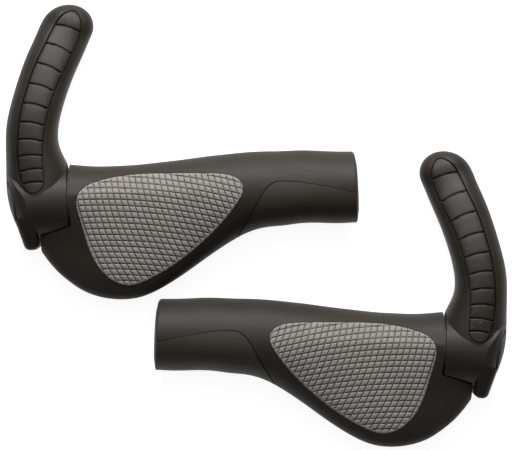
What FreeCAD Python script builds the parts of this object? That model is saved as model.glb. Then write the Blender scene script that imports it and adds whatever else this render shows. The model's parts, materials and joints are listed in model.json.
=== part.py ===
"""A pair of ergonomic bicycle grips with bolt-on bar ends, laid out left and right on a table.

Each grip is a winged rubber body moulded on a split nylon sleeve that slides on a 22.2 mm handlebar.
A composite bar end with a curved horn has a split collar that one M5 screw closes round the sleeve.
All sizes are millimetres. Each grip is modelled in a frame of its own and then laid out:
X runs along the handlebar towards the rider's middle, Y forwards, Z up, and the origin is on the
handlebar axis, midway in the gap between the bar end's collar and the rubber grip.
"""

import FreeCAD
import Part

import math
import os

V = FreeCAD.Vector

# ---- driving dimensions -------------------------------------------------------------------------

# sleeve on the handlebar
bar_bore_radius = 11.15
sleeve_wall = 1.45
sleeve_outboard = -22.0
sleeve_inboard = 130.0
sleeve_end_reveal = 0.25
sleeve_slot_count = 4
sleeve_slot_width = 1.6
sleeve_slot_end = -3.0
sleeve_rib_count = 3
sleeve_rib_height = 0.9
sleeve_rib_width = 2.4
sleeve_rib_margin = 6.0
sleeve_rib_first = 170.0

# rubber grip: (x, front edge, rear edge, half height, top shoulder drop, underside lift)
grip_stations = [
    (-14.0, 15.6, -22.7, 15.0, 0.40, 0.74),
    (-11.0, 15.8, -27.2, 15.2, 0.40, 0.74),
    (-6.0, 16.2, -33.1, 15.4, 0.39, 0.76),
    (0.0, 16.6, -38.3, 15.6, 0.36, 0.78),
    (6.0, 15.9, -42.1, 15.6, 0.30, 0.78),
    (13.0, 15.2, -44.6, 15.5, 0.24, 0.76),
    (22.0, 15.0, -45.8, 15.5, 0.20, 0.74),
    (31.0, 15.1, -44.8, 15.6, 0.18, 0.70),
    (41.0, 15.7, -40.7, 15.7, 0.17, 0.64),
    (51.0, 16.4, -34.9, 15.8, 0.15, 0.55),
    (61.0, 17.3, -28.4, 15.9, 0.12, 0.42),
    (70.0, 17.9, -22.9, 16.0, 0.07, 0.26),
    (79.0, 18.4, -18.4, 16.0, 0.02, 0.08),
    (89.0, 18.5, -16.0, 16.1, 0.0, 0.0),
    (101.0, 18.3, -15.2, 16.1, 0.0, 0.0),
    (114.0, 17.6, -15.3, 16.1, 0.0, 0.0),
    (124.0, 16.8, -15.8, 16.2, 0.0, 0.0),
    (134.0, 16.3, -16.3, 16.3, 0.0, 0.0),
]
grip_end = 131.5
grip_end_dome_radius = 70.0
grip_end_rounding = 2.6
grip_end_radius = 16.9
shoulder_reach = 0.35
section_points = 24

# gap between the collar and the rubber, and round the collar under the wing
gap_width = 1.1
collar_clearance = 0.5

# grey palm pad let into the top of the wing: outline points seen from above
palm_outline = [
    (4.3, 2.4), (7.1, 5.7), (13.0, 8.2), (24.7, 10.3), (47.9, 10.4), (67.5, 9.3), (75.3, 7.3), (79.1, 3.0),
    (76.9, -3.4), (66.5, -15.6), (49.0, -29.6), (34.1, -37.6), (24.5, -39.7), (15.1, -35.0), (7.6, -21.6),
    (4.5, -8.5),
]
outline_points = 39
palm_pad_depth = 2.2
palm_pad_proud = 0.25
pad_seam = 0.2

# saddle of harder rubber round the back of the inboard end: its seam seen from above
saddle_seam = [
    (136.0, -4.3), (122.4, -0.5), (109.5, 2.5), (98.7, 4.1), (92.3, 3.5), (88.3, 0.0), (83.8, -7.1),
    (78.6, -15.1), (71.5, -25.5),
]
saddle_inner_radius = 14.3
saddle_seam_width = 0.35
saddle_seam_depth = 0.9

# bar end: collar
collar_radius = 16.3
collar_running_clearance = 0.05
dome_centre = (17.5, 8.0)
dome_radius = 45.0
dome_half_height = 16.8
dome_rounding = 11.0
slit_width = 2.0

# bar end: horn stations (centre x, centre y, centre height, half width, half thickness)
horn_stations = [
    (-13.8, -6.0, 0.0, 11.6, 13.4),
    (-14.2, 2.0, 0.0, 14.1, 15.8),
    (-13.5, 10.0, 0.6, 15.1, 15.0),
    (-14.9, 17.4, 2.0, 13.5, 13.5),
    (-15.8, 24.9, 3.2, 12.1, 12.2),
    (-15.5, 33.4, 3.6, 11.7, 11.3),
    (-13.3, 42.9, 3.0, 11.5, 10.6),
    (-10.0, 52.9, 1.2, 11.5, 10.0),
    (-5.9, 63.1, -1.4, 11.6, 9.5),
    (-1.6, 72.4, -4.6, 11.6, 9.1),
]
horn_tip_centre = (1.5, 79.0)
horn_tip_height = -6.9
horn_tip_radius = 11.5
horn_tip_half_thickness = 8.7
horn_tip_skew = 1.6
horn_tip_rings = 5
horn_squareness = 2.4

# ribbed pad let into the top of the horn: (centre x, centre y, half width)
horn_pad_stations = [
    (-15.1, 6.2, 4.2), (-15.3, 9.1, 5.2), (-15.9, 14.8, 5.6), (-16.2, 21.1, 5.8), (-15.8, 27.7, 5.9),
    (-14.6, 35.3, 6.1), (-12.7, 43.2, 6.2), (-9.9, 51.8, 6.3), (-6.0, 60.9, 6.6), (-1.4, 69.9, 6.6),
    (2.3, 78.0, 6.3), (4.3, 82.8, 4.9),
]
horn_pad_base = (-16.2, 3.7)
horn_pad_tip = (5.6, 86.5)
horn_pad_depth = 2.4
horn_pad_sink = 0.5
lip_width = 1.3
lip_height = 0.35
groove_count = 10
groove_width = 0.7
groove_depth = 1.0
groove_bow_radius = 26.0
groove_first = 5.2
groove_pitch = 5.8
groove_pitch_step = 0.62
groove_pitch_most = 10.0

# hollow inside the horn, under the ribbed pad
horn_core_inset = 2.4
horn_core_floor = 3.2
horn_core_rib = 1.8
horn_core_ribs = (16.0, 30.0, 44.0, 58.0)

# rubber finger pad on the underside of the horn
finger_pad_from = 29.0
finger_pad_depth = 1.8
finger_pad_split = 2.6

# clamp ears, screw, washer and threaded insert
screw_x = -18.5
screw_y = -17.0
ear_inner = -14.9
ear_rear = -21.5
ear_rear_outer = -21.0
ear_front = (-25.2, -5.0)
ear_slope = 28.0
ear_rounding = 3.0
ear_seat = -6.5
screw_radius = 2.5
screw_length = 12.0
screw_head_radius = 4.25
screw_head_height = 5.0
screw_hex_across = 4.0
screw_hex_depth = 2.6
screw_hole_clearance = 0.2
thread_clearance = 0.06
washer_radius = 4.4
washer_thickness = 1.0
washer_room = 0.5
insert_radius = 3.0
insert_length = 5.2

# outboard end cap
cap_clearance = 0.08
cap_proud = 0.6
cap_inner = -22.3
cap_wall = 1.6

# layout of the pair: yaw of each handlebar axis, and where each grip lies
grip_yaw = 2.665
pair_half_spread = 84.5
pair_stagger = 67.0

# ---- sizes that follow ---------------------------------------------------------------------------

sleeve_radius = bar_bore_radius + sleeve_wall
collar_face = -gap_width / 2
rubber_face = gap_width / 2
collar_bore = sleeve_radius + collar_running_clearance
screw_seat = ear_seat - washer_thickness
insert_low = slit_width / 2
FAR = 200.0


# ---- small tools ---------------------------------------------------------------------------------

def along_x(radius, start, end):
    """A cylinder about the handlebar axis."""
    return Part.makeCylinder(radius, end - start, V(start, 0, 0), V(1, 0, 0))


def upright(radius, x, y, low, high):
    return Part.makeCylinder(radius, high - low, V(x, y, low))


def block(x0, x1, y0, y1, z0, z1):
    return Part.makeBox(x1 - x0, y1 - y0, z1 - z0, V(x0, y0, z0))


def smooth_loop(points):
    """A closed smooth curve through points, as a wire. Even parameters keep neighbouring sections alike."""
    curve = Part.BSplineCurve()
    curve.interpolate(Points=points, PeriodicFlag=True, Parameters=[float(i) for i in range(len(points) + 1)])
    return Part.Wire([curve.toShape()])


def plan_loop(points):
    """A closed smooth curve through plan points (x, y), spaced by their chords."""
    curve = Part.BSplineCurve()
    curve.interpolate(Points=[V(x, y, 0) for x, y in points], PeriodicFlag=True)
    return Part.Wire([curve.toShape()])


def prism(wire, low, high):
    """The plan wire raised into a solid between two heights."""
    moved = wire.copy()
    moved.translate(V(0, 0, low))
    return Part.Face(moved).extrude(V(0, 0, high - low))


def moved(shape, x=0.0, y=0.0, z=0.0):
    copy = shape.copy()
    copy.translate(V(x, y, z))
    return copy


def powered(value, power):
    """A signed power, for the superellipse of the horn's section."""
    return math.copysign(abs(value) ** power, value)


# ---- rubber grip ---------------------------------------------------------------------------------

def grip_section(x, front, rear, half_height, drop, lift):
    """One section of the grip: half an ellipse in front, and behind it the wing, crowned above and hollowed below."""
    ring = []
    for i in range(section_points):
        angle = 2 * math.pi * i / section_points
        c, s = math.cos(angle), math.sin(angle)
        if c >= 0:
            ring.append(V(x, front * c, half_height * s))
            continue
        shoulder = 1 - math.exp(-((c / shoulder_reach) ** 2))
        share = 1 - drop * shoulder if s > 0 else 1 - lift * abs(c) ** 1.5
        ring.append(V(x, -rear * c, half_height * s * share))
    return smooth_loop(ring)


def grip_end_cutter():
    """What the rounded, slightly domed inboard end takes away, turned about the handlebar axis."""
    r0 = grip_end_radius - grip_end_rounding
    sag = grip_end_dome_radius - math.sqrt(grip_end_dome_radius ** 2 - r0 ** 2)
    half = r0 / 2
    sag_half = grip_end_dome_radius - math.sqrt(grip_end_dome_radius ** 2 - half ** 2)
    corner_x = grip_end - sag
    inner_x = corner_x - grip_end_rounding
    bow = grip_end_rounding * (1 - math.sqrt(0.5))
    edges = [
        Part.Arc(V(grip_end, 0, 0), V(grip_end - sag_half, half, 0), V(corner_x, r0, 0)).toShape(),
        Part.Arc(V(corner_x, r0, 0), V(corner_x - bow, grip_end_radius - bow, 0),
                 V(inner_x, grip_end_radius, 0)).toShape(),
        Part.LineSegment(V(inner_x, grip_end_radius, 0), V(inner_x, FAR, 0)).toShape(),
        Part.LineSegment(V(inner_x, FAR, 0), V(FAR, FAR, 0)).toShape(),
        Part.LineSegment(V(FAR, FAR, 0), V(FAR, 0, 0)).toShape(),
        Part.LineSegment(V(FAR, 0, 0), V(grip_end, 0, 0)).toShape(),
    ]
    return Part.Face(Part.Wire(edges)).revolve(V(0, 0, 0), V(1, 0, 0), 360)


def grip_blank():
    """The outer form of the rubber, before anything is let into it."""
    blank = Part.makeLoft([grip_section(*station) for station in grip_stations], True, False)
    return blank.cut(grip_end_cutter())


def sleeve_outside(grow=0.0):
    """The sleeve's outer form with its driving ribs, which the rubber is moulded on."""
    form = along_x(sleeve_radius + grow, sleeve_outboard, sleeve_inboard)
    low, high = rubber_face + sleeve_rib_margin, sleeve_inboard - sleeve_rib_margin
    reach = sleeve_radius + sleeve_rib_height
    for i in range(sleeve_rib_count):
        rib = block(low, high, -sleeve_rib_width / 2, sleeve_rib_width / 2, 0, reach)
        rib.rotate(V(0, 0, 0), V(1, 0, 0), sleeve_rib_first + 360 * i / sleeve_rib_count)
        form = form.fuse(rib)
    return form


def make_bar_sleeve():
    sleeve = sleeve_outside().cut(along_x(bar_bore_radius, sleeve_outboard - 1, sleeve_inboard + 1))
    for i in range(sleeve_slot_count):
        slot = block(sleeve_outboard - 1, sleeve_slot_end, -sleeve_slot_width / 2, sleeve_slot_width / 2,
                     0, sleeve_radius + 1)
        slot.rotate(V(0, 0, 0), V(1, 0, 0), 45 + 360 * i / sleeve_slot_count)
        sleeve = sleeve.cut(slot)
    return sleeve


def skin_cutter(blank, wire, deeper_wire, depth, floor=0.0):
    """The space over a plan outline, down to a depth below the blank's upper surface."""
    bed = moved(blank.common(prism(deeper_wire, floor, FAR)), z=-depth)
    return prism(wire, floor, FAR).cut(bed)


def grown_palm(grow):
    """The palm pad's outline moved outwards by grow, square to itself."""
    curve = Part.BSplineCurve()
    curve.interpolate(Points=[V(x, y, 0) for x, y in palm_outline], PeriodicFlag=True)
    points = []
    for i in range(outline_points):
        at = curve.FirstParameter + (curve.LastParameter - curve.FirstParameter) * i / outline_points
        along = V(*curve.tangent(at)[0])
        point = curve.value(at) + V(-along.y, along.x, 0) * grow
        points.append((point.x, point.y))
    return plan_loop(points)


def saddle_prism(grow=0.0):
    """Everything behind the saddle's seam as seen from above, moved outwards by grow."""
    seam = Part.BSplineCurve()
    seam.interpolate([V(x, y + grow, 0) for x, y in saddle_seam])
    first, last = seam.StartPoint, seam.EndPoint
    corner_a, corner_b = V(last.x, -FAR, 0), V(first.x, -FAR, 0)
    edges = [seam.toShape()] + [
        Part.LineSegment(a, b).toShape() for a, b in ((last, corner_a), (corner_a, corner_b), (corner_b, first))
    ]
    region = Part.Face(Part.Wire(edges))
    region.translate(V(-grow, 0, -FAR))
    return region.extrude(V(0, 0, 2 * FAR))


def saddle_region():
    return saddle_prism().cut(along_x(saddle_inner_radius, 0, FAR))


def saddle_seam_groove(blank):
    """The shallow groove that shows the seam on the upper side. Below it, rubber and saddle meet."""
    return saddle_prism(saddle_seam_width).cut(saddle_prism()).cut(moved(blank, z=-saddle_seam_depth))


def make_palm_pad(blank):
    space = skin_cutter(blank, grown_palm(-pad_seam), grown_palm(4.0), palm_pad_depth)
    return moved(blank, z=palm_pad_proud).common(space)


def make_finger_saddle(blank):
    return blank.common(saddle_region())


def make_grip_rubber(blank):
    collar_space = along_x(collar_radius + collar_clearance, -FAR, rubber_face)
    end_opening = along_x(bar_bore_radius + sleeve_end_reveal, sleeve_inboard - 1, FAR)
    rubber = blank.cut(collar_space).cut(sleeve_outside()).cut(end_opening)
    rubber = rubber.cut(skin_cutter(blank, grown_palm(0), grown_palm(4.0), palm_pad_depth))
    return rubber.cut(saddle_region()).cut(saddle_seam_groove(blank))


# ---- bar end -------------------------------------------------------------------------------------

def horn_directions():
    """The path's direction in plan at each station and at the tip, as unit vectors."""
    centres = [V(x, y, 0) for x, y, *_ in horn_stations] + [V(*horn_tip_centre, 0)]
    directions = []
    for i in range(len(centres)):
        ahead = centres[min(i + 1, len(centres) - 1)]
        behind = centres[max(i - 1, 0)]
        directions.append((ahead - behind).normalize())
    return centres, directions


def horn_section(centre, direction, half_width, half_thickness):
    """One section of the horn: a superellipse square to its path."""
    across = V(direction.y, -direction.x, 0)
    power = 2 / horn_squareness
    ring = []
    for i in range(section_points):
        angle = 2 * math.pi * i / section_points
        side = half_width * powered(math.cos(angle), power)
        rise = half_thickness * powered(math.sin(angle), power)
        ring.append(centre + across * side + V(0, 0, rise))
    return smooth_loop(ring)


def horn_blank(inset=0.0):
    """The horn, from inside the collar to its domed tip, or the smaller form that lies an inset within it."""
    centres, directions = horn_directions()
    sections = []
    for (x, y, height, half_width, half_thickness), direction in zip(horn_stations, directions):
        centre = V(x, y, height)
        sections.append(horn_section(centre, direction, half_width - inset, half_thickness - inset))
    ahead = directions[-1]
    across = V(ahead.y, -ahead.x, 0)
    base = V(*horn_tip_centre, horn_tip_height)
    radius, half_thickness = horn_tip_radius - inset, horn_tip_half_thickness - inset
    for i in range(horn_tip_rings):
        angle = math.pi / 2 * i / horn_tip_rings
        centre = base + ahead * radius * math.sin(angle) + across * horn_tip_skew * math.sin(angle)
        share = math.cos(angle)
        sections.append(horn_section(centre, ahead, radius * share, half_thickness * share))
    end = base + ahead * radius + across * horn_tip_skew
    sections.append(Part.Vertex(end))
    return Part.makeLoft(sections, True, False)


def dome_form(grow=0.0):
    """The round-edged disc, lying flat, that shapes the collar's outboard end."""
    radius, half, corner = dome_radius + grow, dome_half_height + grow, dome_rounding + grow
    disc = Part.makeCylinder(radius, 2 * half, V(*dome_centre, -half))
    return disc.makeFillet(corner, disc.Edges[:1] + disc.Edges[2:3])


def horn_pad_wire(grow):
    """The ribbed pad's outline, from its stations along the horn, moved outwards by grow."""
    left, right = [], []
    centres = [V(x, y, 0) for x, y, _ in horn_pad_stations]
    for i, (x, y, half_width) in enumerate(horn_pad_stations):
        ahead = (centres[min(i + 1, len(centres) - 1)] - centres[max(i - 1, 0)]).normalize()
        across = V(ahead.y, -ahead.x, 0)
        left.append(centres[i] - across * (half_width + grow))
        right.append(centres[i] + across * (half_width + grow))
    start, end = V(*horn_pad_base, 0), V(*horn_pad_tip, 0)
    start_out = (start - centres[0]).normalize() * grow
    end_out = (end - centres[-1]).normalize() * grow
    points = left + [end + end_out] + right[::-1] + [start + start_out]
    return plan_loop([(p.x, p.y) for p in points])


def path_point(distance):
    """The point and direction at a distance along the pad's middle line, from its base."""
    line = Part.BSplineCurve()
    line.interpolate([V(*horn_pad_base, 0)] + [V(x, y, 0) for x, y, _ in horn_pad_stations]
                     + [V(*horn_pad_tip, 0)])
    at = line.parameterAtDistance(distance, line.FirstParameter)
    return line.value(at), V(*line.tangent(at)[0])


def groove_distances():
    """Where each groove crosses the pad: the pitch grows from the base towards the tip."""
    places, place = [], groove_first
    for i in range(groove_count):
        places.append(place)
        place += min(groove_pitch + groove_pitch_step * i, groove_pitch_most)
    return places


def groove_blades():
    """Bowed blades that cut the ribbed pad's grooves, convex towards the tip."""
    blades = []
    for distance in groove_distances():
        point, ahead = path_point(distance)
        centre = point - ahead * groove_bow_radius
        outer = upright(groove_bow_radius + groove_width / 2, centre.x, centre.y, -FAR, FAR)
        inner = upright(groove_bow_radius - groove_width / 2, centre.x, centre.y, -FAR - 1, FAR + 1)
        side = V(ahead.y, -ahead.x, 0) * groove_bow_radius * 0.5
        keep = Part.Face(Part.makePolygon([centre, point + side * 1.2 + ahead * 4, point - side * 1.2 + ahead * 4,
                                           centre]))
        keep.translate(V(0, 0, -FAR))
        blades.append(outer.cut(inner).common(keep.extrude(V(0, 0, 2 * FAR))))
    return blades


def make_horn_pad(horn):
    space = skin_cutter(horn, horn_pad_wire(-pad_seam), horn_pad_wire(3.0), horn_pad_depth, -FAR / 2)
    pad = moved(horn, z=-horn_pad_sink).common(space)
    bed = moved(horn, z=-horn_pad_sink - groove_depth)
    for blade in groove_blades():
        pad = pad.cut(blade.cut(bed))
    return pad


def horn_core():
    """The moulded hollow under the ribbed pad, crossed by stiffening ribs."""
    hollow = prism(horn_pad_wire(-horn_core_inset), -FAR, FAR)
    for distance in horn_core_ribs:
        point, ahead = path_point(distance)
        wall = Part.makeBox(horn_core_rib, 4 * horn_tip_radius, 2 * FAR,
                            V(-horn_core_rib / 2, -2 * horn_tip_radius, -FAR))
        wall.rotate(V(0, 0, 0), V(0, 0, 1), math.degrees(math.atan2(ahead.y, ahead.x)))
        wall.translate(V(point.x, point.y, 0))
        hollow = hollow.cut(wall)
    return hollow


def finger_pad_space():
    """The space below the horn's widest line, from the root to beyond the tip."""
    run = horn_tip_centre[1] - finger_pad_from
    fall = horn_tip_height - horn_stations[4][2]
    space = Part.makeBox(FAR, FAR, FAR, V(-FAR / 2, 0, -FAR))
    space.rotate(V(0, 0, 0), V(1, 0, 0), math.degrees(math.atan2(fall, run)))
    space.translate(V(0, finger_pad_from, horn_stations[4][2] - finger_pad_split))
    return space


def make_horn_finger_pad(horn):
    """An even skin of rubber wrapped round the underside of the horn, up to the split."""
    return horn.common(finger_pad_space()).cut(horn_blank(finger_pad_depth))


def make_ears():
    """The clamp's ears as one rounded wedge running tangent off the collar, which the slit then parts."""
    slope = math.radians(ear_slope)
    start_y, start_z = -collar_radius * math.sin(slope), collar_radius * math.cos(slope)
    end_z = start_z + (ear_rear - start_y) * math.tan(slope)
    root_z = start_z - start_y * math.tan(slope)
    corners = [V(0, 0, root_z), V(0, ear_rear, end_z), V(0, ear_rear, -end_z), V(0, 0, -root_z), V(0, 0, root_z)]
    wedge = Part.Face(Part.makePolygon(corners)).extrude(V(-FAR, 0, 0))
    front_x, front_y = ear_front
    plan = [V(ear_inner, 0, 0), V(ear_inner, ear_rear, 0), V(ear_rear_outer, ear_rear, 0),
            V(front_x, front_y, 0), V(front_x, 0, 0), V(ear_inner, 0, 0)]
    ears = prism(Part.makePolygon(plan), -FAR, FAR).common(wedge)
    rims = [e for e in ears.Edges if e.BoundBox.YMax < front_y + 0.01 or reaches_rear(e)]
    ears = ears.makeFillet(ear_rounding, rims)
    return ears.common(block(-FAR, 0, -FAR, -collar_radius * math.sin(slope), -FAR, FAR))


def reaches_rear(edge):
    """True for an edge that starts or ends at the ears' rear face."""
    return edge.BoundBox.YMin < ear_rear + 0.01


def make_bar_end(horn):
    """The composite moulding: split collar, clamp ears and horn."""
    collar = along_x(collar_radius, -FAR / 4, collar_face).common(dome_form())
    body = collar.fuse(horn).fuse(make_ears())
    body = body.cut(block(collar_face, FAR / 4, -FAR, horn_stations[4][1], -FAR, FAR))
    lip = prism(horn_pad_wire(lip_width), 0, FAR).common(moved(horn, z=lip_height)).cut(moved(horn, z=-1.0))
    body = body.fuse(lip)
    body = body.cut(skin_cutter(horn, horn_pad_wire(0), horn_pad_wire(3.0), horn_pad_depth, -FAR / 2))
    core = horn_core().common(moved(horn, z=-horn_pad_depth + 0.01)).common(moved(horn, z=horn_core_floor))
    body = body.cut(core.cut(along_x(collar_radius, -FAR, FAR)))
    body = body.cut(make_horn_finger_pad(horn))
    body = body.cut(along_x(collar_bore, -FAR, FAR / 4))
    slit = block(-FAR, 1, -FAR, -sleeve_radius + 2, -slit_width / 2, slit_width / 2)
    body = body.cut(slit)
    body = body.cut(upright(washer_radius + washer_room, screw_x, screw_y, -FAR, ear_seat))
    body = body.cut(upright(screw_radius + screw_hole_clearance, screw_x, screw_y, ear_seat - 1, 0))
    return body.cut(upright(insert_radius, screw_x, screw_y, 0, insert_low + insert_length))


# ---- clamp hardware and cap ----------------------------------------------------------------------

def make_clamp_screw():
    """A socket-head screw, head down, its thread in the insert above."""
    head = upright(screw_head_radius, screw_x, screw_y, screw_seat - screw_head_height, screw_seat)
    head = head.makeChamfer(0.5, [head.Edges[2]])
    shank = upright(screw_radius, screw_x, screw_y, screw_seat, screw_seat + screw_length)
    shank = shank.makeChamfer(0.4, [shank.Edges[0]])
    corner = screw_hex_across / math.sqrt(3)
    points = [V(screw_x + corner * math.cos(math.radians(60 * i)), screw_y + corner * math.sin(math.radians(60 * i)),
                screw_seat - screw_head_height - 1) for i in range(7)]
    socket = Part.Face(Part.makePolygon(points)).extrude(V(0, 0, screw_hex_depth + 1))
    return head.fuse(shank).cut(socket)


def make_clamp_washer():
    ring = upright(washer_radius, screw_x, screw_y, screw_seat, ear_seat)
    return ring.cut(upright(screw_radius + screw_hole_clearance, screw_x, screw_y, screw_seat - 1, ear_seat + 1))


def make_clamp_insert():
    barrel = upright(insert_radius, screw_x, screw_y, insert_low, insert_low + insert_length)
    return barrel.cut(upright(screw_radius + thread_clearance, screw_x, screw_y, 0, FAR))


def make_end_cap():
    """The cup that closes the collar's outboard end, its face following the dome and standing a little proud."""
    radius = collar_bore - cap_clearance
    cap = along_x(radius, -FAR / 4, cap_inner).common(dome_form(cap_proud))
    inside = along_x(radius - cap_wall, -FAR / 4, 0).common(dome_form(cap_proud - cap_wall))
    return cap.cut(inside)


# ---- one grip, then the pair ---------------------------------------------------------------------

def make_grip():
    """Every piece of a left-hand grip, in the grip's own frame."""
    blank, horn = grip_blank(), horn_blank()
    return {
        "bar_sleeve": make_bar_sleeve(),
        "grip_rubber": make_grip_rubber(blank),
        "palm_pad": make_palm_pad(blank),
        "finger_saddle": make_finger_saddle(blank),
        "bar_end": make_bar_end(horn),
        "horn_pad": make_horn_pad(horn),
        "horn_finger_pad": make_horn_finger_pad(horn),
        "end_cap": make_end_cap(),
        "clamp_screw": make_clamp_screw(),
        "clamp_washer": make_clamp_washer(),
        "clamp_insert": make_clamp_insert(),
    }


def lay_out(pieces):
    """Both grips on the table, with the origin at the middle of the pair's footprint."""
    laid = {}
    for name, shape in pieces.items():
        left = shape.copy()
        left.rotate(V(0, 0, 0), V(0, 0, 1), grip_yaw)
        left.translate(V(-pair_half_spread, 0, 0))
        right = left.mirror(V(0, 0, 0), V(1, 0, 0))
        right.translate(V(0, -pair_stagger, 0))
        laid["left_" + name] = left
        laid["right_" + name] = right
    box = Part.makeCompound(list(laid.values())).optimalBoundingBox(False, False)
    shift = V(0, -(box.YMin + box.YMax) / 2, -box.ZMin)
    for shape in laid.values():
        shape.translate(shift)
    return laid, shift


def main():
    os.makedirs("parts", exist_ok=True)
    laid, shift = lay_out(make_grip())
    for name, shape in laid.items():
        shape.exportStep(os.path.join("parts", name + ".step"))
        print(name, "solids", len(shape.Solids), "valid", shape.isValid(), "volume", round(shape.Volume, 1))
    print("handlebar axis of the left grip passes", -pair_half_spread, round(shift.y, 3), round(shift.z, 3))


main()
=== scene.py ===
# %% [markdown]
# # A pair of bar end grips
# Two handlebar grips lie on a table, the left-hand one at the upper left and the right-hand one at the
# lower right. Each has a winged rubber body with a grey palm pad, and a bar end with a curved, ribbed horn.
# The solids come from the CAD model, so this lesson is about what CAD leaves plain: relief, finish and light.

# %% Load the frame
import json
import math

import bmesh
import bpy
import numpy as np
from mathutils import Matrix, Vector
from mathutils.bvhtree import BVHTree
from mathutils.geometry import delaunay_2d_cdt


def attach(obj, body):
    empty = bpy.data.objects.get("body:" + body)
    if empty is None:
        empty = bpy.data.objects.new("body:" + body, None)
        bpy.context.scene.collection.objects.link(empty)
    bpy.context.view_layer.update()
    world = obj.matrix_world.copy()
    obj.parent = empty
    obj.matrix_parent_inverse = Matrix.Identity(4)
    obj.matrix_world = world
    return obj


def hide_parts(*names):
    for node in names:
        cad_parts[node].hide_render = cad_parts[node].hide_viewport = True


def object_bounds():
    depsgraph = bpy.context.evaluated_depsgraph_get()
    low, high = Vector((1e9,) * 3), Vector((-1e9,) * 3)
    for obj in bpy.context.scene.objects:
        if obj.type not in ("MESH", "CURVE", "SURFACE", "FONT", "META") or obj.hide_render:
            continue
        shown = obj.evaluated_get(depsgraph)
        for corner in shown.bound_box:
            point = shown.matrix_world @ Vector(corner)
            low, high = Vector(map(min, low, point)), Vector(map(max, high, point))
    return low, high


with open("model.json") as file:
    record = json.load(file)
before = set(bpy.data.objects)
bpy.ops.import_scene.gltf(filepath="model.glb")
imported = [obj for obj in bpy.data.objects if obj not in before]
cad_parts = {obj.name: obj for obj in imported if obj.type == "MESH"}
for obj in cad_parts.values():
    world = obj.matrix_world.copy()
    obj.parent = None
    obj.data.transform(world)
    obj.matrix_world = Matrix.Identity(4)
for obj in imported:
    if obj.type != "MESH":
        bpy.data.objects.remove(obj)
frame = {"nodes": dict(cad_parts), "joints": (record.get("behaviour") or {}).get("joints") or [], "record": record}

cad_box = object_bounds()
MM = 0.001
SIDES = ("left", "right")

# %% [markdown]
# ## Shader maths as expressions
# A node tree is arithmetic drawn as boxes. Written as Python expressions it is much easier to read,
# so one small class wraps a socket and turns + - * / into Math nodes.
# The same class serves materials and Geometry Nodes, because both kinds of tree know the Math node.

# %% The socket class
class Wire:
    """An output socket that can be added, subtracted, multiplied and divided."""

    def __init__(self, tree, socket):
        self.tree, self.socket = tree, socket

    def math(self, operation, *others, clamp=False):
        node = self.tree.nodes.new("ShaderNodeMath")
        node.operation, node.use_clamp = operation, clamp
        for place, value in enumerate((self, *others)):
            plug(self.tree, value, node.inputs[place])
        return Wire(self.tree, node.outputs[0])

    def __add__(self, other):
        return self.math("ADD", other)

    def __sub__(self, other):
        return self.math("SUBTRACT", other)

    def __rsub__(self, other):
        return self.math("MULTIPLY_ADD", -1.0, other)

    def __mul__(self, other):
        return self.math("MULTIPLY", other)

    def __truediv__(self, other):
        return self.math("DIVIDE", other)

    __radd__, __rmul__ = __add__, __mul__

    def smooth(self, low, high):
        """0 below low, 1 above high, and an S curve between."""
        t = ((self - low) / (high - low)).math("ADD", 0.0, clamp=True)
        return t * t * (3.0 - 2.0 * t)


def plug(tree, value, target):
    """Links a Wire to a socket, or sets the socket's own value."""
    if isinstance(value, Wire):
        tree.links.new(value.socket, target)
    else:
        target.default_value = value


# %% The classes for a node tree and a finish
class Nodes:
    """Anything with a node tree, and the methods that add nodes to it."""

    def node(self, kind, settings=None, sockets=None, out=0):
        node = self.tree.nodes.new(kind)
        for key, value in (settings or {}).items():
            setattr(node, key, value)
        for key, value in (sockets or {}).items():
            plug(self.tree, value, node.inputs[key])
        return Wire(self.tree, node.outputs[out])

    def split(self, vector):
        """A vector's x, y and z."""
        node = self.tree.nodes.new("ShaderNodeSeparateXYZ")
        plug(self.tree, vector, node.inputs[0])
        return [Wire(self.tree, s) for s in node.outputs]


class Finish(Nodes):
    """A material with one Principled shader."""

    def __init__(self, name, **constants):
        self.material = bpy.data.materials.new(name)
        self.material.use_nodes = True
        self.tree = self.material.node_tree
        self.shader = next(n for n in self.tree.nodes if n.type == "BSDF_PRINCIPLED")
        for socket, value in constants.items():
            self.shader.inputs[socket.replace("_", " ")].default_value = value

    def place(self):
        """Object coordinates in millimetres."""
        coord = self.node("ShaderNodeTexCoord", out=3)
        return self.node("ShaderNodeVectorMath", {"operation": "SCALE"}, {0: coord, "Scale": 1000.0})

    def noise(self, where, scale, detail, roughness=0.5):
        return self.node("ShaderNodeTexNoise", {}, {"Vector": where, "Scale": scale, "Detail": detail,
                                                    "Roughness": roughness})

    def mix(self, share, first, second):
        node = self.tree.nodes.new("ShaderNodeMix")
        node.data_type = "RGBA"
        plug(self.tree, share, node.inputs[0])
        plug(self.tree, first, node.inputs[6])
        plug(self.tree, second, node.inputs[7])
        return Wire(self.tree, node.outputs[2])

    def bump(self, height, distance):
        return self.node("ShaderNodeBump", {}, {"Height": height, "Distance": distance, "Strength": 1.0})

    def wear(self, **links):
        """The material, with its shader's sockets linked or set."""
        for socket, value in links.items():
            plug(self.tree, value, self.shader.inputs[socket.replace("_", " ")])
        return self.material


def grey(value, warm=0.0):
    """A near-neutral colour, a little warmer than grey where warm is above 0."""
    return (value * (1 + warm), value, value * (1 - warm), 1.0)


# %% [markdown]
# ## Moulded black rubber
# The grip's body is injection-moulded elastomer: dense black, matt, with a very fine spark-eroded grain.
# Its colour hardly varies, so the look comes from a broad soft highlight. Roughness wanders a little
# where the mould is more polished, and a grain of a third of a millimetre breaks the highlight up.

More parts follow.
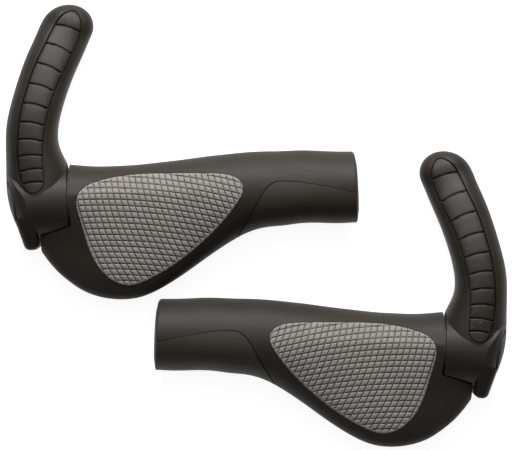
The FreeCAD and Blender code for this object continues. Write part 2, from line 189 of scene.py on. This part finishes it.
# %% Make the black rubber
def black_rubber(name, tone, grain, rough=0.5):
    finish = Finish(name, Specular_IOR_Level=0.22)
    where = finish.place()
    cloud = finish.noise(where, 0.05, 3.0)
    fine = finish.noise(where, 3.2, 2.0, 0.6)
    colour = finish.mix(cloud.smooth(0.3, 0.7), grey(tone * 0.92, 0.32), grey(tone * 1.1, 0.26))
    rough = rough + cloud * 0.08 + fine * 0.10
    return finish.wear(Base_Color=colour, Roughness=rough, Normal=finish.bump(fine, grain * MM))


grip_rubber = black_rubber("grip_rubber_black", 0.0108, 0.05)
saddle_rubber = black_rubber("saddle_rubber_black", 0.0175, 0.04)
print("made", grip_rubber.name, saddle_rubber.name)

# %% [markdown]
# ## Glass-filled nylon
# The bar end is a stiff composite moulding. It is a touch glossier than the rubber, and its skin
# shows the fine slanted tooling lines that give a bare hand some hold. They are a wave across a slanted
# direction, mirrored from one grip to the other by the absolute value of x.

# %% Make the composite
def slanted_lines(finish, where, pitch, lean):
    """A ripple whose crests lean by an angle from the forward direction."""
    x, y, z = finish.split(where)
    across = x.math("ABSOLUTE") * math.cos(lean) + y * math.sin(lean) + z * 0.5
    return (across * (2 * math.pi / pitch)).math("SINE") * 0.5 + 0.5


def composite(name, tone):
    finish = Finish(name, Specular_IOR_Level=0.2)
    where = finish.place()
    lines = slanted_lines(finish, where, 0.95, math.radians(38))
    cloud = finish.noise(where, 0.08, 3.0)
    fine = finish.noise(where, 2.4, 2.0, 0.6)
    colour = finish.mix(cloud.smooth(0.3, 0.7), grey(tone * 0.9, 0.32), grey(tone * 1.12, 0.24))
    rough = 0.40 + cloud * 0.10 + fine * 0.10
    height = lines * 0.6 + fine * 0.4
    return finish.wear(Base_Color=colour, Roughness=rough, Normal=finish.bump(height, 0.045 * MM))


bar_end_composite = composite("bar_end_composite", 0.0095)
horn_rubber = black_rubber("horn_rubber_black", 0.0105, 0.06, 0.42)
print("made", bar_end_composite.name, horn_rubber.name)

# %% [markdown]
# ## Grey palm rubber, nylon, steel and brass
# The palm pad is a softer grey compound. Its grooves hold painted shade: the colour darkens where the mesh's own
# distance to the nearest groove tells the material they are. The rest is small hardware:
# an unpainted nylon sleeve, blackened steel for the screw and washer, and a turned brass insert.

# %% Make the palm rubber
def palm_rubber(name):
    finish = Finish(name, Specular_IOR_Level=0.3)
    where = finish.place()
    cloud = finish.noise(where, 0.12, 3.0)
    fine = finish.noise(where, 4.0, 2.0, 0.6)
    colour = finish.mix(cloud.smooth(0.25, 0.75), grey(0.146, 0.09), grey(0.166, 0.08))
    # Painted shade: the colour turns dark grey in the grooves, standing in for the shade that falls in them.
    groove = finish.node("ShaderNodeAttribute", {"attribute_name": "from_groove"}, out=2)
    colour = finish.mix(groove.smooth(0.08, 0.3), grey(0.045, 0.12), colour)
    rough = 0.62 + fine * 0.15
    return finish.wear(Base_Color=colour, Roughness=rough, Normal=finish.bump(fine, 0.04 * MM))


palm_grey = palm_rubber("palm_rubber_grey")


# %% Make the hardware finishes
def metal(name, colour, rough, scale):
    finish = Finish(name, Metallic=1.0)
    where = finish.place()
    x, y, z = finish.split(where)
    drawn = finish.node("ShaderNodeCombineXYZ", {}, {0: x * 0.2, 1: y * 0.2, 2: z * scale})
    streak = finish.noise(drawn, 2.0, 3.0)
    tint = finish.mix(streak, (*[c * 0.85 for c in colour], 1.0), (*colour, 1.0))
    return finish.wear(Base_Color=tint, Roughness=rough + streak * 0.15, Normal=finish.bump(streak, 0.02 * MM))


screw_steel = metal("screw_steel_black", (0.09, 0.09, 0.095), 0.28, 6.0)
insert_brass = metal("insert_brass", (0.72, 0.52, 0.24), 0.25, 8.0)
sleeve_nylon = black_rubber("sleeve_nylon", 0.03, 0.03)
print("made", palm_grey.name, screw_steel.name, insert_brass.name, sleeve_nylon.name)

# %% Dress the CAD nodes
FINISHES = {
    "grip_rubber": grip_rubber, "finger_saddle": saddle_rubber, "palm_pad": palm_grey,
    "bar_sleeve": sleeve_nylon, "bar_end": bar_end_composite, "end_cap": bar_end_composite,
    "horn_pad": horn_rubber, "horn_finger_pad": horn_rubber, "clamp_screw": screw_steel,
    "clamp_washer": screw_steel, "clamp_insert": insert_brass,
}
for side in SIDES:
    for part, material in FINISHES.items():
        mesh = frame["nodes"][f"{side}_{part}"].data
        mesh.materials.clear()
        mesh.materials.append(material)
print("dressed", len(FINISHES) * len(SIDES), "nodes")

# %% [markdown]
# ## Pads that follow the body
# Both pads are rubber sheets let into a moulding, and both are pressed with grooves: a slanting lattice on
# the palm pad, bowed cross lines on the horn pad. They could be carved with booleans, but a sheet that already
# has an edge along every groove gives clean, even tiles. So each pad starts as a flat sheet in the grip's own
# plan, a Geometry Nodes tree lays it on the CAD pad and sinks its grooves, and plain mesh code closes it below.

# %% The grip's own plan
class Plan:
    """Millimetres in one grip's plan: x inboard along the handlebar, y forwards, from the collar's gap."""

    def __init__(self, side):
        hinge = next(j for j in frame["joints"] if j["name"] == f"{side}_bar_end_swing")
        mount = next(m for m in frame["record"]["mounts"] if m["name"] == f"{side}_handlebar")
        self.origin = Vector(hinge["pos_m"][:2])
        self.inboard = Vector(mount["axis"][:2]).normalized()
        turn = 1 if side == "left" else -1
        self.forward = Vector((-self.inboard.y, self.inboard.x)) * turn

    def world(self, point):
        return self.origin + (self.inboard * point[0] + self.forward * point[1]) * MM

    def local(self, point):
        offset = (Vector(point[:2]) - self.origin) / MM
        return Vector((offset.dot(self.inboard), offset.dot(self.forward)))


plans = {side: Plan(side) for side in SIDES}
print("handlebar axes pass", [tuple(round(v, 4) for v in plans[s].origin) for s in SIDES])

# %% Find a pad's rim
RIM_STEP = 0.6
RIM_INSET = 0.03
FACES_DOWN = -0.2


def evenly(chain, step, closed=True):
    """The chain's points respaced evenly, about a step apart."""
    path = list(chain) + ([chain[0]] if closed else [])
    reach = [0.0]
    for a, b in zip(path, path[1:]):
        reach.append(reach[-1] + (b - a).length)
    count = max(2, round(reach[-1] / step))
    found, leg = [], 0
    for i in range(count if closed else count + 1):
        want = min(reach[-1] * i / count, reach[-1] - 1e-9)
        while reach[leg + 1] < want:
            leg += 1
        share = (want - reach[leg]) / (reach[leg + 1] - reach[leg])
        found.append(path[leg].lerp(path[leg + 1], share))
    return found


def shrunk(loop, inset):
    """A closed anticlockwise loop moved inwards."""
    moved = []
    for i, point in enumerate(loop):
        along = (loop[(i + 1) % len(loop)] - loop[i - 1]).normalized()
        moved.append(point + Vector((-along.y, along.x)) * inset)
    return moved


def pad_rim(side, part):
    """The edge of a CAD pad's underside as an anticlockwise loop in plan."""
    shell = bmesh.new()
    shell.from_mesh(frame["nodes"][f"{side}_{part}"].data)
    bmesh.ops.remove_doubles(shell, verts=shell.verts, dist=1e-6)
    shell.normal_update()
    below = {f for f in shell.faces if f.normal.z < FACES_DOWN}
    rim = [e for e in shell.edges if sum(f in below for f in e.link_faces) == 1]
    links = {}
    for edge in rim:
        a, b = edge.verts
        links.setdefault(a, []).append(b)
        links.setdefault(b, []).append(a)
    chain = [rim[0].verts[0]]
    while True:
        onward = [v for v in links[chain[-1]] if len(chain) < 2 or v is not chain[-2]]
        if onward[0] is chain[0]:
            break
        chain.append(onward[0])
    loop = evenly([plans[side].local(v.co) for v in chain], RIM_STEP)
    shell.free()
    area = sum(a.x * b.y - b.x * a.y for a, b in zip(loop, loop[1:] + loop[:1]))
    return shrunk(loop if area > 0 else loop[::-1], RIM_INSET)


rims = {(side, part): pad_rim(side, part) for side in SIDES for part in ("palm_pad", "horn_pad")}
print({key: len(loop) for key, loop in rims.items()})


# %% Cut a flat sheet along its grooves
SHEET_HEIGHT = -0.05


def inside(loop, points):
    """Which plan points lie within a closed loop, by counting crossings."""
    points, hits = np.array(points), np.zeros(len(points), bool)
    for a, b in zip(loop, loop[1:] + loop[:1]):
        spans = (a.y > points[:, 1]) != (b.y > points[:, 1])
        crossing = a.x + (points[:, 1] - a.y) * (b.x - a.x) / ((b.y - a.y) or 1e-12)
        hits ^= spans & (points[:, 0] < crossing)
    return hits


def rim_distance(loop, points):
    """How far each plan point lies from a closed loop."""
    points = np.array(points)
    least = np.full(len(points), np.inf)
    for a, b in zip(loop, loop[1:] + loop[:1]):
        a, leg = np.array(a), np.array(b - a)
        share = np.clip(((points - a) @ leg) / (leg @ leg), 0, 1)
        least = np.minimum(least, np.linalg.norm(points - a - share[:, None] * leg, axis=1))
    return least


def flat_sheet(rim, loops, lines):
    """Plan points and triangles within the rim, with an edge along every loop and line."""
    points, edges = [], []
    for chain, closed in [(c, True) for c in [rim] + loops] + [(c, False) for c in lines]:
        first = len(points)
        points += [Vector(p) for p in chain]
        edges += [(first + i, first + i + 1) for i in range(len(chain) - 1)]
        edges += [(first + len(chain) - 1, first)] if closed else []
    corners, _, faces, *_ = delaunay_2d_cdt(points, edges, [], 0, 1e-5)
    middles = [sum((corners[i] for i in face), Vector((0, 0))) / len(face) for face in faces]
    kept = [face for face, keep in zip(faces, inside(rim, middles)) if keep]
    return corners, kept


# %% The class for a Geometry Nodes tree
class Tree(Nodes):
    """A Geometry Nodes tree with named inputs."""

    def __init__(self, name, *sizes):
        self.tree = bpy.data.node_groups.new(name, "GeometryNodeTree")
        face = self.tree.interface
        face.new_socket("Geometry", in_out="INPUT", socket_type="NodeSocketGeometry")
        face.new_socket("Geometry", in_out="OUTPUT", socket_type="NodeSocketGeometry")
        face.new_socket("Pad", in_out="INPUT", socket_type="NodeSocketObject")
        face.new_socket("Finish", in_out="INPUT", socket_type="NodeSocketMaterial")
        for label in sizes:
            face.new_socket(label, in_out="INPUT", socket_type="NodeSocketFloat")
        self.start = self.tree.nodes.new("NodeGroupInput")
        self.end = self.tree.nodes.new("NodeGroupOutput")

    def given(self, label):
        return Wire(self.tree, self.start.outputs[label])

    def bake(self, piece, values):
        """Runs the tree on a piece and keeps the result as its plain mesh."""
        modifier = piece.modifiers.new("nodes", "NODES")
        modifier.node_group = self.tree
        for item in self.tree.interface.items_tree:
            if item.in_out == "INPUT" and item.name in values:
                modifier[item.identifier] = values[item.name]
        depsgraph = bpy.context.evaluated_depsgraph_get()
        piece.data = bpy.data.meshes.new_from_object(piece.evaluated_get(depsgraph), depsgraph=depsgraph)
        piece.modifiers.remove(modifier)
        piece.data.name = piece.name


# %% [markdown]
# ## The tree that lays a sheet on a pad
# The tree has two jobs. It finds the ground, which is the CAD pad's underside straight above the flat sheet,
# and evens out its facets except near the rim, where the pad must meet the body. Then it works out how far
# each point drops below the pad's top: into a groove, round a tile's edge, or down the tile's slight crown.

# %% Find the even ground under a pad
FACE_BLUR = 20
RIM_LEAN = 0.6
RIM_HOLD = 2.5


def ground_under(lay, place, rim):
    """The ground's height over each point of the sheet, and which way it faces, upwards at the rim."""
    pad = lay.node("GeometryNodeObjectInfo", {}, {"Object": lay.given("Pad")}, out="Geometry")
    ray = {"Target Geometry": pad, "Source Position": place, "Ray Direction": (0, 0, 1), "Ray Length": 1.0}
    cast = lay.node("GeometryNodeRaycast", {}, ray, out="Hit Position")
    face = Wire(lay.tree, cast.socket.node.outputs["Hit Normal"])
    blur = {"data_type": "FLOAT_VECTOR"}
    even = lay.node("GeometryNodeBlurAttribute", blur, {"Value": cast, "Iterations": lay.given("Smooth")},
                    out="Value")
    face = lay.node("GeometryNodeBlurAttribute", blur, {"Value": face, "Iterations": FACE_BLUR}, out="Value")
    face = lay.node("ShaderNodeVectorMath", {"operation": "NORMALIZE"}, {0: face})
    lean = rim.math("DIVIDE", RIM_LEAN, clamp=True)
    lean = lay.node("ShaderNodeCombineXYZ", {}, {0: lean, 1: lean, 2: 1.0})
    face = lay.node("ShaderNodeVectorMath", {"operation": "MULTIPLY"}, {0: face, 1: lean})
    x, y, _ = lay.split(place)
    *_, height = lay.split(cast)
    even_x, even_y, even_z = lay.split(even)
    face_x, face_y, face_z = lay.split(face)
    level = even_z - ((x - even_x) * face_x + (y - even_y) * face_y) / face_z
    return height + (level - height) * rim.math("DIVIDE", RIM_HOLD, clamp=True), face


# %% Work out the drop below a pad's top
GROOVE_TOP, GROOVE_WALL = 1.25, 0.75
BORDER_FADE = 0.25
NO_GROOVE = 9.0
ROLL_SHARE = 0.6


def drop_below_top(lay, groove, rim):
    """How far the relief lies below the pad's plain top, in metres."""
    half = lay.given("Groove") * 0.5
    open_ground = (rim - lay.given("Border")).math("DIVIDE", BORDER_FADE, clamp=True)
    cut = ((half * GROOVE_TOP - groove) / (half * GROOVE_WALL)).math("ADD", 0.0, clamp=True)
    sink = cut * lay.given("Depth") * open_ground
    edge = groove.math("SUBTRACT", half) * open_ground + (1.0 - open_ground) * NO_GROOVE
    edge = edge.math("MINIMUM", rim)
    turn = (1.0 - edge / lay.given("Round")).math("ADD", 0.0, clamp=True)
    roll = (1.0 - (1.0 - turn * turn).math("SQRT")) * lay.given("Round") * ROLL_SHARE
    swell = (1.0 - edge / lay.given("Tile")).math("ADD", 0.0, clamp=True)
    return (sink.math("MAXIMUM", roll) + swell * swell * lay.given("Crown")) * MM


# %% Put the tree together
def lay_tree():
    """Lays a flat sheet over a pad's underside, raises it by the pad's thickness and sinks its grooves."""
    lay = Tree("lay_and_groove", "Thickness", "Groove", "Depth", "Border", "Round", "Crown", "Tile", "Smooth")
    place = lay.node("GeometryNodeInputPosition")
    groove, rim = (lay.node("GeometryNodeInputNamedAttribute", {"data_type": "FLOAT"}, {"Name": name})
                   for name in ("from_groove", "from_rim"))
    level, face = ground_under(lay, place, rim)
    drop = drop_below_top(lay, groove, rim)
    x, y, _ = lay.split(place)
    top = lay.node("ShaderNodeCombineXYZ", {}, {0: x, 1: y, 2: level + lay.given("Thickness") * MM})
    sunk = lay.node("ShaderNodeVectorMath", {"operation": "SCALE"}, {0: face, "Scale": drop})
    total = lay.node("ShaderNodeVectorMath", {"operation": "ADD"}, {0: top, 1: sunk})
    laid = lay.node("GeometryNodeSetPosition", {}, {"Geometry": lay.given("Geometry"), "Position": total})
    real = lay.node("GeometryNodeRealizeInstances", {}, {"Geometry": laid})
    done = lay.node("GeometryNodeSetMaterial", {}, {"Geometry": real, "Material": lay.given("Finish")})
    lay.tree.links.new(done.socket, lay.end.inputs["Geometry"])
    return lay


lay = lay_tree()
print("inputs", [i.name for i in lay.tree.interface.items_tree if i.in_out == "INPUT"])

# %% Close a pad below
COARSE = 4.0
BED_CLEARANCE = 0.1
WALL_HEIGHT = 2.0


def bed_points(edge, loop):
    """A coarse grid of plan points for the underside, a little way inside the loop."""
    bounds = [(min(p[k] for p in edge), max(p[k] for p in edge)) for k in (0, 1)]
    counts = [int((b - a) / COARSE) for a, b in bounds]
    grid = [Vector((bounds[0][0] + COARSE * (i + 0.5), bounds[1][0] + COARSE * (j + 0.5)))
            for i in range(counts[0]) for j in range(counts[1])]
    within = inside(loop, grid) & (rim_distance(loop, grid) > COARSE * 0.4)
    return [p for p, keep in zip(grid, within) if keep]


def close_below(piece, side, part, rim):
    """Adds the pad's wall and underside, which follows the CAD pad's own underside a hair above it."""
    pad = bmesh.new()
    pad.from_mesh(frame["nodes"][f"{side}_{part}"].data)
    ground = BVHTree.FromBMesh(pad)
    pad.free()
    shell = bmesh.new()
    shell.from_mesh(piece.data)
    bmesh.ops.remove_doubles(shell, verts=shell.verts, dist=1e-7)
    edges = [e for e in shell.edges if e.is_boundary]
    wall = bmesh.ops.extrude_edge_only(shell, edges=edges)["geom"]
    lower = [v for v in wall if isinstance(v, bmesh.types.BMVert)]
    lower_edges = [e for e in wall if isinstance(e, bmesh.types.BMEdge)]
    place = {vert: i for i, vert in enumerate(lower)}
    flat = [Vector(v.co[:2]) / MM for v in lower]
    bed = bed_points(flat, [plans[side].world(p) / MM for p in rim])
    ring = [tuple(place[v] for v in e.verts) for e in lower_edges]
    corners, _, faces, origins, *_ = delaunay_2d_cdt(flat + bed, ring, [], 1, 1e-6)
    verts = []
    for corner, source in zip(corners, origins):
        hit = ground.ray_cast(Vector((corner.x * MM, corner.y * MM, SHEET_HEIGHT)), Vector((0, 0, 1)))[0]
        if source[0] < len(lower):
            vert = lower[source[0]]
            vert.co.z = (hit.z if hit else vert.co.z - WALL_HEIGHT * MM) + BED_CLEARANCE * MM
        else:
            vert = shell.verts.new((corner.x * MM, corner.y * MM, hit.z + BED_CLEARANCE * MM))
        verts.append(vert)
    for face in faces:
        shell.faces.new([verts[i] for i in face])
    bmesh.ops.recalc_face_normals(shell, faces=shell.faces)
    open_edges = sum(len(e.link_faces) != 2 for e in shell.edges)
    shell.to_mesh(piece.data)
    shell.free()
    return open_edges


# %% Make one pad
def frame_body(side, part):
    """The body that a CAD pad rides on."""
    return f"{side}_grip" if part == "palm_pad" else f"{side}_bar_end"


def make_pad(side, part, loops, lines, from_groove, material, slot, **sizes):
    """A grooved pad that stands for the CAD one."""
    rim = rims[side, part]
    corners, faces = flat_sheet(rim, loops, lines)
    mesh = bpy.data.meshes.new(f"{side}_{part}_moulded")
    mesh.from_pydata([(*plans[side].world(p), SHEET_HEIGHT) for p in corners], [], faces)
    plan = np.array([tuple(p) for p in corners])
    for name, values in (("from_rim", rim_distance(rim, plan)), ("from_groove", from_groove(plan))):
        mesh.attributes.new(name, "FLOAT", "POINT").data.foreach_set("value", values.astype(np.float32))
    piece = bpy.data.objects.new(mesh.name, mesh)
    bpy.context.scene.collection.objects.link(piece)
    lay.bake(piece, {"Pad": frame["nodes"][f"{side}_{part}"], "Finish": material, **sizes})
    gaps = close_below(piece, side, part, rim)
    piece.data.shade_smooth()
    piece.data.set_sharp_from_angle(angle=math.radians(50))
    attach(piece, frame_body(side, part))
    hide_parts(f"{side}_{part}")
    print(piece.name, len(piece.data.polygons), "faces,", gaps, "open edges")


# %% [markdown]
# ## The palm pad's lattice
# The lattice is two families of slowly curving lines, about 2.7 mm apart, one running along the grip and one
# leaning across it. Each family is a formula that counts lines: where the count is whole, there is a groove.
# Lines for the sheet are found by solving the formula, and the distance to a groove comes from its fraction.

# %% Set out the lattice
TILE = 2.7
SHOULDERS = (-0.62, -0.27, -0.13, 0.13, 0.27, 0.62, 0.98, 1.35)
BORDER = 0.8
ROW_PITCH, ROW_START, ROW_BOW, ROW_MIDDLE, ROW_SPREAD = 2.68125, 0.98, 0.002258, 6.425, 0.000716
COLUMN_RATE, COLUMN_START = 0.36184, 0.545
COLUMN_LEAN, COLUMN_FAN, COLUMN_BOW = 0.0508, 0.000723, 0.001489


def row_count(x, y):
    """How many lines along the grip lie behind a plan point."""
    return (y + ROW_BOW * (x - ROW_MIDDLE) ** 2 - ROW_SPREAD * y * y) / ROW_PITCH - ROW_START


def column_count(x, y):
    """How many lines across the grip lie outboard of a plan point."""
    return COLUMN_RATE * x + COLUMN_LEAN * y + COLUMN_FAN * x * y - COLUMN_BOW * y * y - COLUMN_START


def row_line(count, span):
    """The plan line on which row_count has one value, found in a few rounds because y is on both sides."""
    line = []
    for x in span:
        y = 0.0
        for _ in range(6):
            y = (count + ROW_START) * ROW_PITCH - ROW_BOW * (x - ROW_MIDDLE) ** 2 + ROW_SPREAD * y * y
        line.append(Vector((x, y)))
    return line


def column_line(count, span):
    """The plan line on which column_count has one value."""
    line = []
    for y in span:
        rest = count + COLUMN_START - COLUMN_LEAN * y + COLUMN_BOW * y * y
        line.append(Vector((rest / (COLUMN_RATE + COLUMN_FAN * y), y)))
    return line


def lattice(rim):
    """Every line of the lattice that crosses the rim, with its shoulders."""
    xs, ys = [p.x for p in rim], [p.y for p in rim]
    across = np.arange(min(xs) - 1, max(xs) + 1, 1.0)
    along = np.arange(min(ys) - 1, max(ys) + 1, 1.0)
    rows = [row_count(p.x, p.y) for p in rim]
    columns = [column_count(p.x, p.y) for p in rim]
    lines = []
    for offset in SHOULDERS:
        for count in range(math.floor(min(rows)) - 1, math.ceil(max(rows)) + 1):
            lines.append(row_line(count + offset / TILE, across))
        for count in range(math.floor(min(columns)) - 1, math.ceil(max(columns)) + 1):
            lines.append(column_line(count + offset / TILE, along))
    return [piece for line in lines for piece in crossing(line, rim)]


def crossing(line, rim):
    """The runs of a line that lie within the rim, with one point more at each end."""
    keep = inside(rim, line)
    wide = keep | np.roll(keep, 1) | np.roll(keep, -1)
    wide[0], wide[-1] = keep[0], keep[-1]
    runs, run = [], []
    for point, kept in zip(line, wide):
        if kept:
            run.append(point)
        elif run:
            runs.append(run)
            run = []
    return [r for r in runs + [run] if len(r) > 1]


def lattice_distance(plan):
    """How far each plan point lies from the nearest groove."""
    gaps = [np.abs((count(plan[:, 0], plan[:, 1]) + 0.5) % 1.0 - 0.5) for count in (row_count, column_count)]
    return np.minimum(*gaps) * TILE


for side in SIDES:
    rim = rims[side, "palm_pad"]
    steps = [shrunk(rim, inset) for inset in (0.2, 0.45, BORDER, BORDER + 0.25)]
    make_pad(side, "palm_pad", steps, lattice(rim), lattice_distance, palm_grey, "palm_grey",
             Thickness=2.45, Groove=0.36, Depth=0.5, Border=BORDER, Round=0.5, Crown=0.12, Tile=1.3, Smooth=4)

# %% [markdown]
# ## The horn pad's cross lines
# The thumb pad on the horn is one strip of rubber with ten bowed grooves, closer together at the collar
# than at the tip. The strip's middle line is found from its rim: it is half-way between the two long edges.

# %% Find the strip's middle line
GROOVE_COUNT = 10
GROOVE_FIRST = 5.2
GROOVE_PITCH = 5.8
GROOVE_PITCH_STEP = 0.62
GROOVE_PITCH_MOST = 10.0
BOW = 26.0
BOW_TURN = 0.45
FAR = 20.0
FINE_STEP = 0.1
STRIP_SHOULDERS = [s * k for k in (0.2, 0.42, 0.65, 0.95, 1.5, 2.3, 3.3, 4.3) for s in (-1, 1)]


def middle_line(rim):
    """Points from the strip's collar end to its tip, half-way between its long edges."""
    low = min(range(len(rim)), key=lambda i: rim[i].y)
    high = max(range(len(rim)), key=lambda i: rim[i].y)
    ahead = [rim[(low + i) % len(rim)] for i in range((high - low) % len(rim) + 1)]
    back = [rim[(low - i) % len(rim)] for i in range((low - high) % len(rim) + 1)]
    count = 60
    rails = [evenly(rail, sum((b - a).length for a, b in zip(rail, rail[1:])) / count, False)
             for rail in (ahead, back)]
    return [(a + b) / 2 for a, b in zip(*rails)]


def groove_places(rim):
    """Each groove's middle point and direction."""
    line = evenly(middle_line(rim), FINE_STEP, False)
    places, distance = [], GROOVE_FIRST
    for i in range(GROOVE_COUNT):
        at = round(distance / FINE_STEP)
        ahead = (line[min(at + 15, len(line) - 1)] - line[at - 15]).normalized()
        places.append((line[at], ahead))
        distance += min(GROOVE_PITCH + GROOVE_PITCH_STEP * i, GROOVE_PITCH_MOST)
    return places


def bowed_line(place, ahead, offset):
    """An arc across the strip whose middle lies an offset ahead of the place."""
    centre, radius, heading = place - ahead * BOW, BOW + offset, math.atan2(ahead.y, ahead.x)
    turns = np.arange(-BOW_TURN, BOW_TURN + 0.001, 0.02)
    return [centre + Vector((math.cos(heading + t), math.sin(heading + t))) * radius for t in turns]


def strip_distance(places):
    """A function that tells how far each plan point lies from the nearest of these grooves."""
    def distance(plan):
        least = np.full(len(plan), FAR)
        for place, ahead in places:
            centre = np.array(place - ahead * BOW)
            gap = np.abs(np.linalg.norm(plan - centre, axis=1) - BOW)
            near = np.linalg.norm(plan - np.array(place), axis=1) < BOW / 2
            least = np.minimum(least, np.where(near, gap, FAR))
        return least
    return distance


for side in SIDES:
    rim = rims[side, "horn_pad"]
    places = groove_places(rim)
    lines = [bowed_line(*place, offset) for place in places for offset in STRIP_SHOULDERS]
    lines = [run for line in lines for run in crossing(line, rim)]
    steps = [shrunk(rim, inset) for inset in (0.15, 0.35, 0.6, 1.0, 1.6, 2.4, 3.4)]
    make_pad(side, "horn_pad", steps, lines, strip_distance(places), horn_rubber, "horn_rubber",
             Thickness=1.9, Groove=0.5, Depth=1.0, Border=0.0, Round=0.5, Crown=0.15, Tile=2.6, Smooth=40)

# %% [markdown]
# ## Table, light and camera
# The grips lie on a white light table, which leaves no shadow round them, under a large soft light in front,
# so the forward sides of the tubes shine and the rear sides fall into shade. A weak light overhead keeps
# some form in the shade. The camera looks straight down from a little over a metre.

# %% Lay the table
TABLE_GLOW = 0.9
TABLE_GAP = 0.0004
low, high = cad_box
centre = (Vector(low) + Vector(high)) / 2
table = bpy.data.meshes.new("table")
table.from_pydata([(-3, -3, 0), (3, -3, 0), (3, 3, 0), (-3, 3, 0)], [], [(0, 1, 2, 3)])
table_object = bpy.data.objects.new("table", table)
bpy.context.scene.collection.objects.link(table_object)
table_object.location.z = low[2] - TABLE_GAP
table_finish = Finish("table_white", Roughness=0.9, Specular_IOR_Level=0.0, Emission_Strength=TABLE_GLOW)
table.materials.append(table_finish.wear(Base_Color=grey(0.35), Emission_Color=grey(1.0)))


# %% Hang the lights
def soft_light(name, where, size, power):
    """A square area light that faces the middle of the pair."""
    data = bpy.data.lights.new(name, "AREA")
    data.energy, data.size = power, size
    light = bpy.data.objects.new(name, data)
    bpy.context.scene.collection.objects.link(light)
    light.location = centre + Vector(where)
    light.rotation_euler = (centre - light.location).to_track_quat("-Z", "Y").to_euler()


soft_light("front_softbox", (0.0, 1.0, 0.75), 0.6, 33.0)
soft_light("top_softbox", (0.0, 0.35, 1.3), 0.8, 4.5)
world = bpy.data.worlds.new("studio")
world.use_nodes = True
world.node_tree.nodes["Background"].inputs["Color"].default_value = (1.0, 1.0, 1.0, 1.0)
world.node_tree.nodes["Background"].inputs["Strength"].default_value = 0.12
bpy.context.scene.world = world

# %% Set the camera
CAMERA_HEIGHT = 1.1
PLANE_HEIGHT = 0.0164
VIEW_WIDTH = 0.235
VIEW_SHIFT = 0.00095
camera_data = bpy.data.cameras.new("camera")
camera_data.sensor_width = 36.0
camera_data.lens = camera_data.sensor_width * CAMERA_HEIGHT / VIEW_WIDTH
camera_data.clip_start = 0.01
camera = bpy.data.objects.new("camera", camera_data)
bpy.context.scene.collection.objects.link(camera)
camera.location = (VIEW_SHIFT, 0.0, PLANE_HEIGHT + CAMERA_HEIGHT)
bpy.context.scene.camera = camera
bpy.context.scene.view_settings.view_transform = "Standard"
print("lens", round(camera_data.lens, 1))
